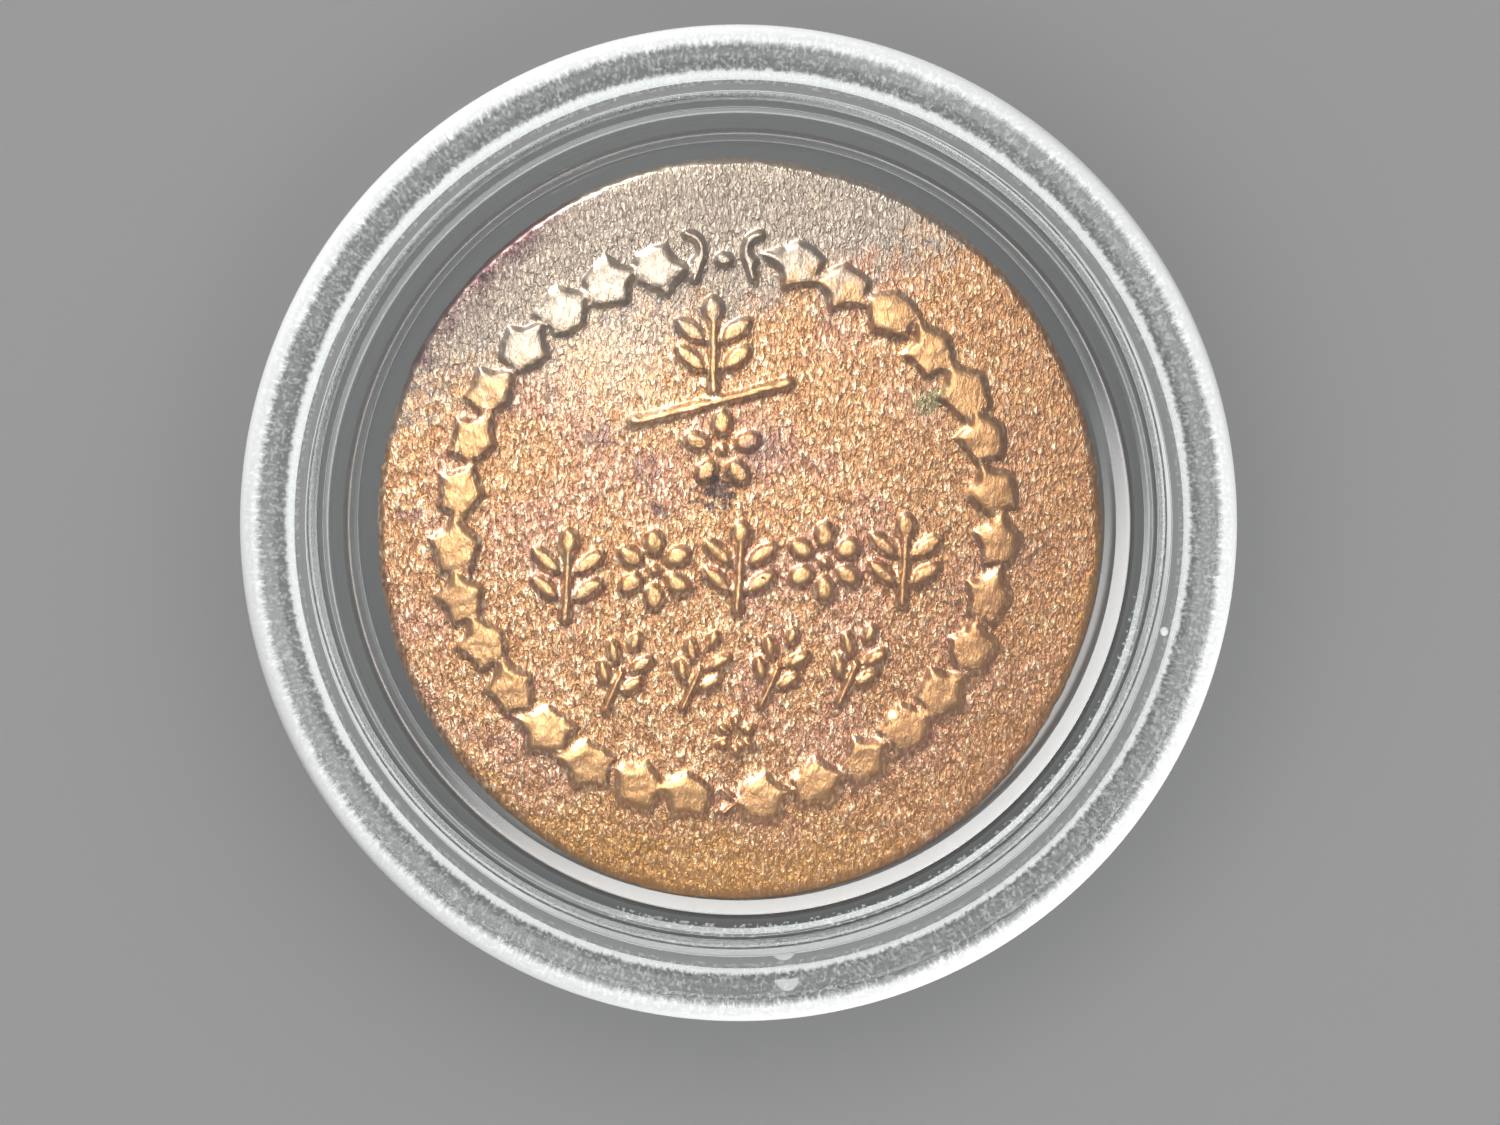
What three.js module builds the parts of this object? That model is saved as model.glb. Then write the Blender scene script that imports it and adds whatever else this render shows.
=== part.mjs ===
// Round press-together capsule for one coin: a back shell that holds the coin in its pocket,
// a front shell that presses down over the pocket wall, and the coin. Millimetres, +Z up.
// The capsule lies on its back shell, its axis on Z and its underside at Z = 0.
import * as THREE from "three";

// Driving dimensions, in millimetres.
const CAPSULE_DIAMETER = 28;
const CAPSULE_HEIGHT = 6.2;
const POCKET_DIAMETER = 22;
const POCKET_HEIGHT = 3;
const WINDOW_RECESS = 0.3; // each window lies this far below its raised rim
const RECESS_TOP_DIAMETER = 24.84; // where the rim's slope into the recess begins
const RECESS_FLOOR_DIAMETER = 24.3; // where that slope meets the window
const FLANGE_THICKNESS = 2.55;
const FLANGE_OUTER_ROUND = 0.5; // the soft edge round each flange's outer face
const FLANGE_GROOVE_ROUND = 0.2; // the edge round each flange's face in the fingernail groove
const POCKET_WALL = 0.6; // the back shell's inner wall
const WAIST_DIAMETER = 24.94; // the front shell's wall, seen at the bottom of the groove
const WAIST_FILLET = 0.3; // where that wall meets its flange
const WALL_CLEARANCE = 0.05; // between the two nested walls, and past the end of each
const LEAD_IN = 0.2; // chamfer that guides one wall over the other

const COIN_WIDTH = 20.9;
const COIN_LENGTH = 21.4; // a hammered-looking blank is a little longer than it is wide
const COIN_THICKNESS = 1.15;
const COIN_EDGE_ROUND = 0.25;
const COIN_OFFSET = new THREE.Vector2(0.04, -0.22); // the coin has slid to one side of the pocket
const COIN_CLEARANCE = 0.05; // between the coin and the window under it

const TURN_STEPS = 72; // facets round each turned shape, the same on both shells
const ROUND_STEPS = 2; // two of these make four facets on a quarter round

// Sizes that follow from the ones above.
const OUTER_R = CAPSULE_DIAMETER / 2;
const POCKET_R = POCKET_DIAMETER / 2;
const WAIST_R = WAIST_DIAMETER / 2;
const POCKET_WALL_R = POCKET_R + POCKET_WALL;
const WINDOW_THICKNESS = (CAPSULE_HEIGHT - POCKET_HEIGHT) / 2 - WINDOW_RECESS;
const POCKET_FLOOR_Z = WINDOW_RECESS + WINDOW_THICKNESS;
const POCKET_CEILING_Z = POCKET_FLOOR_Z + POCKET_HEIGHT;

const CLEAR_POLYSTYRENE = new THREE.MeshStandardMaterial({
  color: 0xe6e9e8,
  roughness: 0.06,
  metalness: 0,
  transparent: true,
  opacity: 0.3,
});
const WORN_COPPER = new THREE.MeshStandardMaterial({
  color: 0xb5835a,
  roughness: 0.45,
  metalness: 0.9,
});

// Turns a half section, drawn as (radius, height) from the axis at its lowest point round to
// the axis at its highest, about the vertical axis.
function turned(section) {
  return new THREE.LatheGeometry(section.getPoints(ROUND_STEPS), TURN_STEPS).rotateX(Math.PI / 2);
}

// The back shell's half section: recessed window, rim, flange and the wall round the pocket.
function backShellSection() {
  const wallTop = POCKET_CEILING_Z - WALL_CLEARANCE;
  const section = new THREE.Path();
  section.moveTo(0, WINDOW_RECESS);
  section.lineTo(RECESS_FLOOR_DIAMETER / 2, WINDOW_RECESS);
  section.lineTo(RECESS_TOP_DIAMETER / 2, 0);
  section.lineTo(OUTER_R - FLANGE_OUTER_ROUND, 0);
  section.absarc(OUTER_R - FLANGE_OUTER_ROUND, FLANGE_OUTER_ROUND, FLANGE_OUTER_ROUND, -Math.PI / 2, 0);
  section.lineTo(OUTER_R, FLANGE_THICKNESS - FLANGE_GROOVE_ROUND);
  section.absarc(
    OUTER_R - FLANGE_GROOVE_ROUND,
    FLANGE_THICKNESS - FLANGE_GROOVE_ROUND,
    FLANGE_GROOVE_ROUND,
    0,
    Math.PI / 2,
  );
  section.lineTo(POCKET_WALL_R, FLANGE_THICKNESS);
  section.lineTo(POCKET_WALL_R, wallTop - LEAD_IN);
  section.lineTo(POCKET_WALL_R - LEAD_IN, wallTop);
  section.lineTo(POCKET_R, wallTop);
  section.lineTo(POCKET_R, POCKET_FLOOR_Z);
  section.lineTo(0, POCKET_FLOOR_Z);
  return section;
}

// The front shell's half section: the wall that slips over the pocket wall, its flange with
// the fingernail groove under it, the rim and the recessed window.
function frontShellSection() {
  const wallInnerR = POCKET_WALL_R + WALL_CLEARANCE;
  const wallBottom = FLANGE_THICKNESS + WALL_CLEARANCE;
  const flangeBottom = CAPSULE_HEIGHT - FLANGE_THICKNESS;
  const section = new THREE.Path();
  section.moveTo(0, POCKET_CEILING_Z);
  section.lineTo(wallInnerR, POCKET_CEILING_Z);
  section.lineTo(wallInnerR, wallBottom + LEAD_IN);
  section.lineTo(wallInnerR + LEAD_IN, wallBottom);
  section.lineTo(WAIST_R, wallBottom);
  section.lineTo(WAIST_R, flangeBottom - WAIST_FILLET);
  section.absarc(
    WAIST_R + WAIST_FILLET,
    flangeBottom - WAIST_FILLET,
    WAIST_FILLET,
    Math.PI,
    Math.PI / 2,
    true,
  );
  section.lineTo(OUTER_R - FLANGE_GROOVE_ROUND, flangeBottom);
  section.absarc(
    OUTER_R - FLANGE_GROOVE_ROUND,
    flangeBottom + FLANGE_GROOVE_ROUND,
    FLANGE_GROOVE_ROUND,
    -Math.PI / 2,
    0,
  );
  section.lineTo(OUTER_R, CAPSULE_HEIGHT - FLANGE_OUTER_ROUND);
  section.absarc(
    OUTER_R - FLANGE_OUTER_ROUND,
    CAPSULE_HEIGHT - FLANGE_OUTER_ROUND,
    FLANGE_OUTER_ROUND,
    0,
    Math.PI / 2,
  );
  section.lineTo(RECESS_TOP_DIAMETER / 2, CAPSULE_HEIGHT);
  section.lineTo(RECESS_FLOOR_DIAMETER / 2, CAPSULE_HEIGHT - WINDOW_RECESS);
  section.lineTo(0, CAPSULE_HEIGHT - WINDOW_RECESS);
  return section;
}

// The coin's half section at its width: a flat blank with a rounded edge.
function coinSection() {
  const r = COIN_WIDTH / 2;
  const section = new THREE.Path();
  section.moveTo(0, 0);
  section.lineTo(r - COIN_EDGE_ROUND, 0);
  section.absarc(r - COIN_EDGE_ROUND, COIN_EDGE_ROUND, COIN_EDGE_ROUND, -Math.PI / 2, 0);
  section.lineTo(r, COIN_THICKNESS - COIN_EDGE_ROUND);
  section.absarc(
    r - COIN_EDGE_ROUND,
    COIN_THICKNESS - COIN_EDGE_ROUND,
    COIN_EDGE_ROUND,
    0,
    Math.PI / 2,
  );
  section.lineTo(0, COIN_THICKNESS);
  return section;
}

function named(name, geometry, material) {
  const mesh = new THREE.Mesh(geometry, material);
  mesh.name = name;
  return mesh;
}

const capsule = new THREE.Group();

capsule.add(named("back_shell", turned(backShellSection()), CLEAR_POLYSTYRENE));
capsule.add(named("front_shell", turned(frontShellSection()), CLEAR_POLYSTYRENE));

const coin = named("coin", turned(coinSection()), WORN_COPPER);
coin.scale.y = COIN_LENGTH / COIN_WIDTH;
coin.position.set(COIN_OFFSET.x, COIN_OFFSET.y, POCKET_FLOOR_Z + COIN_CLEARANCE);
capsule.add(coin);

export default capsule;
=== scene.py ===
"""Looks for a round clear coin capsule: two pressed-together shells and the struck coin between them."""

import logging
import math
import random
from collections.abc import Callable
from dataclasses import dataclass, field
from enum import Enum
from functools import partial

import bpy
from mathutils import Matrix, Vector


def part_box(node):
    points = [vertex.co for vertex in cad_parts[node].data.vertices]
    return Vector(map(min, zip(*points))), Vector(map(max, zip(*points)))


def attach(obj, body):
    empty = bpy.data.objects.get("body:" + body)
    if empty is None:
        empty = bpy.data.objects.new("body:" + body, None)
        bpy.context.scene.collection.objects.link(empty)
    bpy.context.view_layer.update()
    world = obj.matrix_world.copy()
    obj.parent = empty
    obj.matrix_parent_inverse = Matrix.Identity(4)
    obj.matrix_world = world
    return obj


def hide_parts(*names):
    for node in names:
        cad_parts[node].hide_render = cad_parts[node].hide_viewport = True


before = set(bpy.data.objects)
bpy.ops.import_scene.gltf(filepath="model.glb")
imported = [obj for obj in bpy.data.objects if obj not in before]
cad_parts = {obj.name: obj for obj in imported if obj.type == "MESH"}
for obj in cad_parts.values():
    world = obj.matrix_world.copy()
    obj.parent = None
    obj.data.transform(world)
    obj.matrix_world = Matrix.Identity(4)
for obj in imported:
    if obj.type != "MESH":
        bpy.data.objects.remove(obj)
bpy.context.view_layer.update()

Tree = bpy.types.NodeTree
Source = bpy.types.Node | bpy.types.NodeSocket
Material = bpy.types.Material
Piece = bpy.types.Object
MM = 0.001
MERGE_DISTANCE = 1e-7
log = logging.getLogger("coin_capsule")


# ---------------------------------------------------------------- small helpers


def linear(hex_colour: str) -> tuple[float, float, float, float]:
    """Turns an sRGB hex colour into Blender's linear one.

    Args:
        hex_colour: the colour as "#rrggbb".

    Returns:
        Red, green, blue, and 1 for opaque.
    """
    shown = [int(hex_colour[i : i + 2], 16) / 255 for i in (1, 3, 5)]
    red, green, blue = (c / 12.92 if c <= 0.04045 else ((c + 0.055) / 1.055) ** 2.4 for c in shown)
    return red, green, blue, 1.0


def add_node(tree: Tree, kind: str, links: dict | None = None, **settings) -> bpy.types.Node:
    """Adds one shader node with its settings and its links.

    Args:
        tree: the node tree.
        kind: the node's type without its "ShaderNode", such as "TexNoise".
        links: what feeds each input, by the input's name or number: a socket, a node, which stands for
            its first output, or a plain value.
        settings: the node's own properties.

    Returns:
        The node.
    """
    node = tree.nodes.new("ShaderNode" + kind)
    for name, value in settings.items():
        setattr(node, name, value)
    for key, source in (links or {}).items():
        socket = node.inputs[key]
        if isinstance(source, bpy.types.Node):
            source = source.outputs[0]
        if isinstance(source, bpy.types.NodeSocket):
            tree.links.new(source, socket)
        else:
            socket.default_value = source
    return node


def new_material(name: str) -> tuple[Material, Tree]:
    """Makes an empty node material.

    Args:
        name: the material's name.

    Returns:
        The material and its node tree.
    """
    material = bpy.data.materials.new(name)
    material.use_nodes = True
    material.node_tree.nodes.clear()
    return material, material.node_tree


def even_material(name: str, inputs: dict) -> Material:
    """Makes a material that is the same all over.

    Args:
        name: the material's name.
        inputs: its shader's values.

    Returns:
        The material.
    """
    material, tree = new_material(name)
    surface = add_node(tree, "BsdfPrincipled", inputs)
    add_node(tree, "OutputMaterial", {"Surface": surface})
    return material


def laid_over(
    tree: Tree,
    under: Source | tuple,
    over: str,
    measure: Source,
    start: float,
    full: float,
    strength: float = 1.0,
) -> Source:
    """Lays a colour over another one where a measure passes from one value to another.

    Args:
        tree: the node tree.
        under: the colour below.
        over: the colour on top, as "#rrggbb".
        measure: what decides where it lies.
        start: the measure at which it begins.
        full: the measure at which it is as strong as it gets.
        strength: how strong that is, from 0 to 1.

    Returns:
        The colour of both.
    """
    mask = add_node(
        tree,
        "MapRange",
        {"Value": measure, "From Min": start, "From Max": full, "To Max": strength},
        interpolation_type="SMOOTHSTEP",
    )
    both = add_node(tree, "Mix", {0: mask, 6: under, 7: linear(over)}, data_type="RGBA")
    return both.outputs[2]


def deselect_all() -> None:
    """Leaves nothing selected, so that the next operator acts on its own piece only."""
    bpy.ops.object.select_all(action="DESELECT")


def select_only(piece: Piece) -> None:
    """Selects one piece and makes it the active one.

    Args:
        piece: the piece.
    """
    deselect_all()
    piece.select_set(True)
    bpy.context.view_layer.objects.active = piece


def edit_only(piece: Piece, mode: str, wanted: Callable) -> None:
    """Opens one piece in edit mode with only the wanted vertices or faces selected.

    Args:
        piece: the piece.
        mode: "VERT" or "FACE".
        wanted: says of one vertex or face whether it is selected.
    """
    select_only(piece)
    bpy.context.tool_settings.mesh_select_mode = (mode == "VERT", False, mode == "FACE")
    mesh = piece.data
    for part in (mesh.vertices, mesh.edges, mesh.polygons):
        part.foreach_set("select", [False] * len(part))
    for item in mesh.vertices if mode == "VERT" else mesh.polygons:
        item.select = bool(wanted(item))
    bpy.ops.object.mode_set(mode="EDIT")


def rename(piece: Piece, name: str) -> Piece:
    """Names a piece and its mesh.

    Args:
        piece: the piece.
        name: its new name.

    Returns:
        The piece.
    """
    piece.name = name
    piece.data.name = name
    return piece


# ---------------------------------------------------------------- turned shapes


@dataclass(frozen=True)
class Corner:
    """A corner of a half section: its radius from the axis, its height, and how far its edge is rounded."""

    r: float
    z: float
    rounding: float = 0.0


@dataclass
class Lathe:
    """Draws a half section in the XZ plane from one vertex and spins it about Z, as by hand."""

    segments: int = 256
    round_steps: int = 6
    support: float = 0.012 * MM
    _at: Vector = field(default_factory=Vector)

    def start(self, corner: Corner) -> None:
        """Puts down the first vertex of the section.

        Args:
            corner: where it is.
        """
        deselect_all()
        bpy.ops.mesh.primitive_plane_add(size=MM, location=(corner.r, 0, corner.z))
        bpy.ops.object.transform_apply()
        bpy.ops.object.mode_set(mode="EDIT")
        bpy.ops.mesh.select_mode(type="VERT")
        bpy.ops.mesh.merge(type="CENTER")
        self._at = Vector((corner.r, 0, corner.z))

    def line_to(self, place: Vector) -> None:
        """Extrudes the last vertex to a place.

        Args:
            place: where the line ends.
        """
        bpy.ops.mesh.extrude_region_move(TRANSFORM_OT_translate={"value": place - self._at})
        self._at = place

    def round_to(self, centre: Vector, angle: float) -> None:
        """Spins the last vertex round a centre, which draws an arc.

        Args:
            centre: the arc's centre.
            angle: how far it turns, positive for a turn to the left as seen with Z up and X right.
        """
        steps = max(2, round(self.round_steps * abs(angle) / (math.pi / 2)))
        bpy.ops.mesh.spin(steps=steps, angle=angle, center=centre, axis=(0, 1, 0))
        arm = self._at - centre
        cos, sin = math.cos(angle), math.sin(angle)
        self._at = centre + Vector((arm.x * cos - arm.z * sin, 0, arm.x * sin + arm.z * cos))

    def turned(self, name: str, corners: list[Corner]) -> Piece:
        """Makes one closed turned shape.

        Args:
            name: the piece's name.
            corners: the half section, from its lowest point on the axis round to its highest.

        Returns:
            The piece, smooth shaded, with short flats beside every rounded edge so that faces stay flat.
        """
        self.start(corners[0])
        for before, corner, after in zip(corners, corners[1:], corners[2:]):
            here = Vector((corner.r, 0, corner.z))
            into = (here - Vector((before.r, 0, before.z))).normalized()
            out = (Vector((after.r, 0, after.z)) - here).normalized()
            turn = math.atan2(into.x * out.z - into.z * out.x, into.dot(out))
            if not corner.rounding:
                self.line_to(here)
                continue
            cut = corner.rounding * math.tan(abs(turn) / 2)
            self.line_to(here - into * (cut + self.support))
            self.line_to(here - into * cut)
            side = Vector((-into.z, 0, into.x)) * math.copysign(corner.rounding, turn)
            self.round_to(self._at + side, turn)
            self.line_to(here + out * (cut + self.support))
        self.line_to(Vector((corners[-1].r, 0, corners[-1].z)))
        bpy.ops.mesh.select_all(action="SELECT")
        bpy.ops.mesh.spin(steps=self.segments, angle=2 * math.pi, center=(0, 0, 0), axis=(0, 0, 1))
        bpy.ops.mesh.select_all(action="SELECT")
        bpy.ops.mesh.remove_doubles(threshold=MERGE_DISTANCE)
        bpy.ops.mesh.normals_make_consistent(inside=False)
        bpy.ops.object.mode_set(mode="OBJECT")
        bpy.ops.object.shade_smooth()
        return rename(bpy.context.object, name)


# ---------------------------------------------------------------- finishes


@dataclass(frozen=True)
class CrystalPolystyrene:
    """Clear injection-moulded polystyrene: polished windows, whitened rims and flanges scuffed by handling.

    The front rim has gone milky from rubbing, with a border of short hatch marks. The fillet behind each
    flange shows the mould's turning marks as a bright dashed ring. The pocket wall is frosted, and the end
    of that wall flecked with milky specks, only on the side that faces the key softbox: painted highlight
    where the light falls. Sizes are in millimetres.
    """

    middle_z: float
    rim_r: float
    fillet_r: float
    fillet_width: float
    pocket_r: float
    nest_r: float
    tint: str = "#FDFEFE"
    ior: float = 1.59
    roughness: float = 0.015
    front_milk: float = 0.75
    back_milk: float = 0.2
    ring_milk: float = 0.9
    scuff_milk: float = 0.2
    nest_milk: float = 0.3
    pocket_milk: float = 0.75
    hatch_pitch: float = 0.1
    hatch_length: float = 0.35
    scuff_depth: float = 0.007
    grit: float = 0.11
    milky_roughness: float = 0.4
    jagged_by: float = 0.3
    nest_band: float = 0.13
    pocket_band: float = 0.19
    edge_spare: float = 0.04
    # the side that faces the key softbox, where the painted highlight lies
    painted_highlight_towards: tuple[float, float, float] = (0.5, -0.86, 0.0)
    painted_highlight_from: float = 1.0
    painted_highlight_to: float = 8.0

    def material(self) -> Material:
        """Builds the material.

        Returns:
            Glass-clear plastic that lets lamps through to the coin, milky where it is rubbed.
        """
        material, tree = new_material("polystyrene_crystal_moulded")
        add = partial(add_node, tree)
        spot = add("TexCoord").outputs["Object"]
        place = add("Mapping", {0: spot, "Scale": [1 / MM] * 3})
        flat = add("VectorMath", {0: place, 1: (1, 1, 0)}, operation="MULTIPLY")
        radius = add("VectorMath", {0: flat}, operation="LENGTH").outputs["Value"]
        hatch = self.hatching(tree, flat, radius)
        milk = self.milkiness(tree, place, radius, hatch)
        flange = add(
            "MapRange",
            {"Value": radius, "From Min": self.fillet_r, "From Max": self.fillet_r + self.fillet_width},
        )
        marks = add("Math", {0: hatch, 1: flange}, operation="MULTIPLY")
        bump = add("Bump", {"Height": marks, "Distance": self.scuff_depth * MM})
        clear = add("Math", {0: 1.0, 1: milk}, operation="SUBTRACT")
        rough = add("MapRange", {"Value": milk, "To Min": self.roughness, "To Max": self.milky_roughness})
        glass = add(
            "BsdfPrincipled",
            {
                "Base Color": linear(self.tint),
                "Roughness": rough,
                "IOR": self.ior,
                "Transmission Weight": clear,
                "Normal": bump,
            },
        )
        shadow = add("BsdfTransparent", {"Color": linear(self.tint)})
        path = add("LightPath")
        mix = add("MixShader", {0: path.outputs["Is Shadow Ray"], 1: glass, 2: shadow})
        add("OutputMaterial", {"Surface": mix})
        return material

    def hatching(self, tree: Tree, flat: Source, radius: Source) -> Source:
        """Draws short marks that run outwards all round, without a seam.

        Args:
            tree: the node tree.
            flat: the place seen along the axis, in millimetres.
            radius: its distance from the axis.

        Returns:
            The marks, from 0 to 1.
        """
        add = partial(add_node, tree)
        outwards = add("VectorMath", {0: flat}, operation="NORMALIZE")
        turns = self.rim_r / self.hatch_pitch
        round_about = add("VectorMath", {0: outwards, "Scale": turns}, operation="SCALE")
        steps = add("Math", {0: radius, 1: 1 / self.hatch_length}, operation="MULTIPLY")
        lift = add("CombineXYZ", {"Z": steps})
        where = add("VectorMath", {0: round_about, 1: lift}, operation="ADD")
        return add("TexNoise", {"Vector": where, "Scale": 1.0, "Detail": 3.0, "Roughness": 0.6})

    def milkiness(self, tree: Tree, place: Source, radius: Source, hatch: Source) -> Source:
        """Says where the plastic is whitened.

        Args:
            tree: the node tree.
            place: the place, in millimetres.
            radius: the distance from the axis.
            hatch: the hatch marks.

        Returns:
            How milky it is, from 0 to 1.
        """
        add = partial(add_node, tree)
        height = add("SeparateXYZ", {0: place}).outputs["Z"]
        above = add("Math", {0: height, 1: self.middle_z}, operation="SUBTRACT")
        level = add("Math", {0: above}, operation="ABSOLUTE")
        jagged = add("Math", {0: hatch, 1: self.jagged_by, 2: radius}, operation="MULTIPLY_ADD")
        grit = add("TexNoise", {"Vector": place, "Scale": 1 / self.grit, "Detail": 1.0})
        # painted highlight: the pocket frost and the nest's specks lie only on the side that faces the key
        # softbox
        along = add("VectorMath", {0: place, 1: self.painted_highlight_towards}, operation="DOT_PRODUCT")
        painted_highlight_side = add(
            "MapRange",
            {"Value": along.outputs["Value"], "From Min": self.painted_highlight_from, "From Max": self.painted_highlight_to},
        )
        nest = add(
            "Math", {0: radius, 1: self.nest_r - self.nest_band, 2: self.nest_band}, operation="COMPARE"
        )
        dots = add("Math", {0: grit, 1: nest}, operation="MULTIPLY")
        dots = add("Math", {0: dots, 1: painted_highlight_side}, operation="MULTIPLY")
        frost_r = self.pocket_r + self.edge_spare - self.pocket_band
        pocket = add("Math", {0: radius, 1: frost_r, 2: self.pocket_band}, operation="COMPARE")
        pocket = add("Math", {0: pocket, 1: painted_highlight_side}, operation="MULTIPLY")
        inside = add("Math", {0: radius, 1: self.fillet_r}, operation="LESS_THAN")
        turned = add("Math", {0: inside, 1: self.rim_r, 2: jagged}, operation="MULTIPLY_ADD")
        fillet_end = self.fillet_r + self.fillet_width + self.jagged_by / 2
        bands = [
            # measure, where it starts and is full, the level, where that starts and is full, strength
            (jagged, self.rim_r - 0.02, self.rim_r + 0.24, above, 2.2, 2.6, self.front_milk),
            (jagged, self.rim_r - 0.02, self.rim_r + 0.24, above, -2.2, -2.6, self.back_milk),
            (turned, fillet_end + 0.14, fillet_end + 0.02, above, 0.95, 0.8, self.ring_milk),
            (hatch, 0.52, 0.72, level, 2.95, 3.0, self.scuff_milk),
            (grit, 0.5, 0.68, level, 2.95, 3.0, self.scuff_milk),
            (dots, 0.58, 0.64, level, 1.1, 1.2, self.nest_milk),
            (pocket, 0.0, 1.0, level, 1.6, 1.5, self.pocket_milk),
        ]
        total: Source | float = 0.0
        for measure, start, full, depth, low, high, strength in bands:
            band = add(
                "MapRange",
                {"Value": measure, "From Min": start, "From Max": full, "To Max": strength},
                interpolation_type="SMOOTHSTEP",
            )
            there = add("MapRange", {"Value": depth, "From Min": low, "From Max": high})
            total = add("Math", {0: band, 1: there, 2: total}, operation="MULTIPLY_ADD", use_clamp=True)
        return total


@dataclass(frozen=True)
class TornPolystyrene:
    """Polystyrene torn off at the gate: a small matt patch, paler than the clear plastic round it."""

    tint: str = "#F4F5F4"
    ior: float = 1.59
    roughness: float = 0.45
    clear: float = 0.1

    def material(self) -> Material:
        """Builds the material.

        Returns:
            Whitened, half clear plastic.
        """
        return even_material(
            "polystyrene_torn_matt",
            {
                "Base Color": linear(self.tint),
                "Roughness": self.roughness,
                "IOR": self.ior,
                "Transmission Weight": self.clear,
            },
        )


@dataclass(frozen=True)
class StainOrSheen:
    """A dark blot on the coin's front, or a painted sheen: its middle and its radius in millimetres, its
    colour and its strength.
    """

    x: float
    y: float
    radius: float
    colour: str
    strength: float


@dataclass(frozen=True)
class PatinaOrShadeZone:
    """Patina, or painted shade, on one side of the coin: its colour, the way to it, and how it comes in, in
    millimetres.

    It begins at start and is full at full, and its edge wanders by as much as wander says.
    """

    colour: str
    towards: tuple[float, float, float]
    wander: float
    start: float
    full: float
    strength: float


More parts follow.
